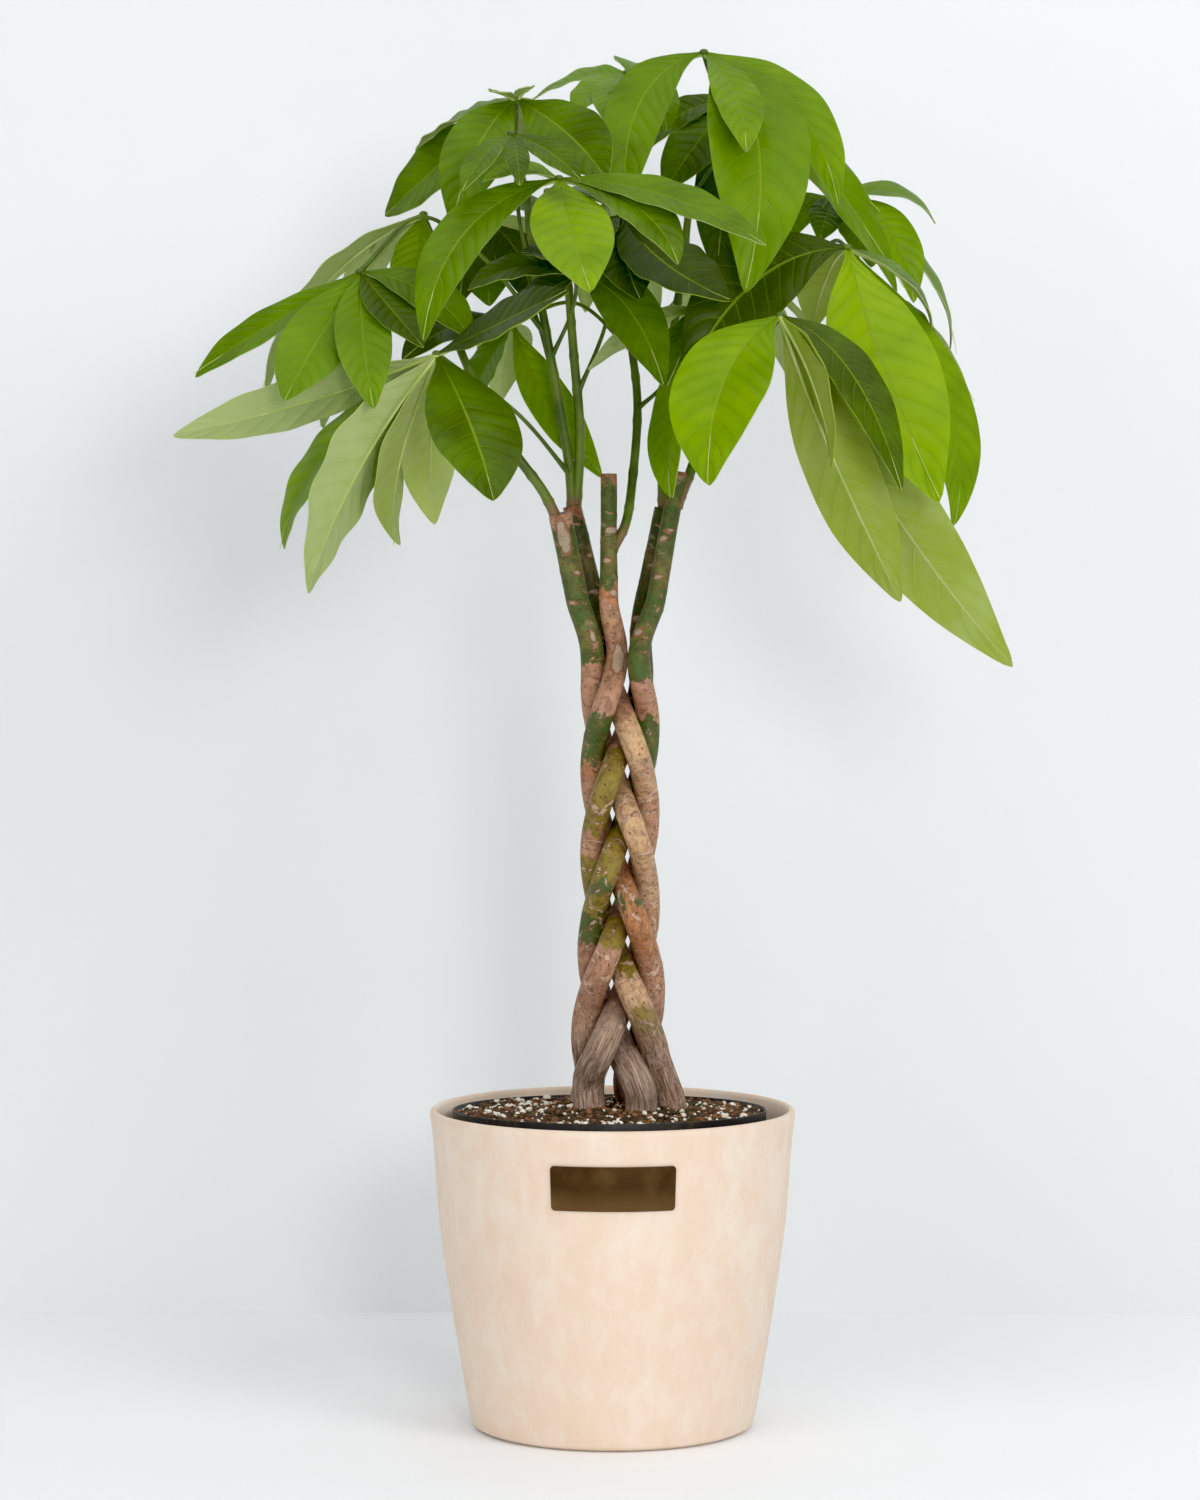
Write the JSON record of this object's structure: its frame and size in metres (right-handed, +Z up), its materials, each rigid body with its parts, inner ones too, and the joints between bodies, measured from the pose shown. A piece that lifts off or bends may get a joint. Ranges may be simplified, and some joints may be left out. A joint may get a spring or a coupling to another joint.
{
  "type": "potted money tree",
  "caption": "Money tree with braided trunks and palmate leaves, in a black grow pot inside a tapered cream cover pot with a bare bronze plate.",
  "frame": {"origin": "middle of the cover pot's foot, on the floor", "axes": "+Z up the braid, -Y towards the front with the plate, +X to the right seen from the front"},
  "size_m": [0.6232, 0.4657, 1.055],
  "materials": {
    "cream_pot": "matt cream, softly mottled",
    "bronze": "brushed dark bronze",
    "black_plastic": "satin black",
    "soil": "rough damp soil with white grains",
    "bark": "smooth green and tan bark with scars, fibrous near the soil",
    "leaf": "satin green, paler underneath"
  },
  "bodies": {
    "root": {"outer_pot": "cream_pot", "name_plate": "bronze", "grow_pot": "black_plastic", "soil": "soil", "trunk_1": "bark", "trunk_2": "bark", "trunk_3": "bark", "trunk_4": "bark", "trunk_5": "bark", "leaf_01": "leaf", "leaf_02": "leaf", "leaf_03": "leaf", "leaf_04": "leaf", "leaf_05": "leaf", "leaf_06": "leaf", "leaf_07": "leaf", "leaf_08": "leaf", "leaf_09": "leaf", "leaf_10": "leaf", "leaf_11": "leaf", "leaf_12": "leaf", "leaf_13": "leaf", "leaf_14": "leaf", "leaf_15": "leaf", "leaf_16": "leaf", "leaf_17": "leaf", "leaf_18": "leaf", "leaf_19": "leaf", "leaf_20": "leaf"}
  },
  "joints": []
}
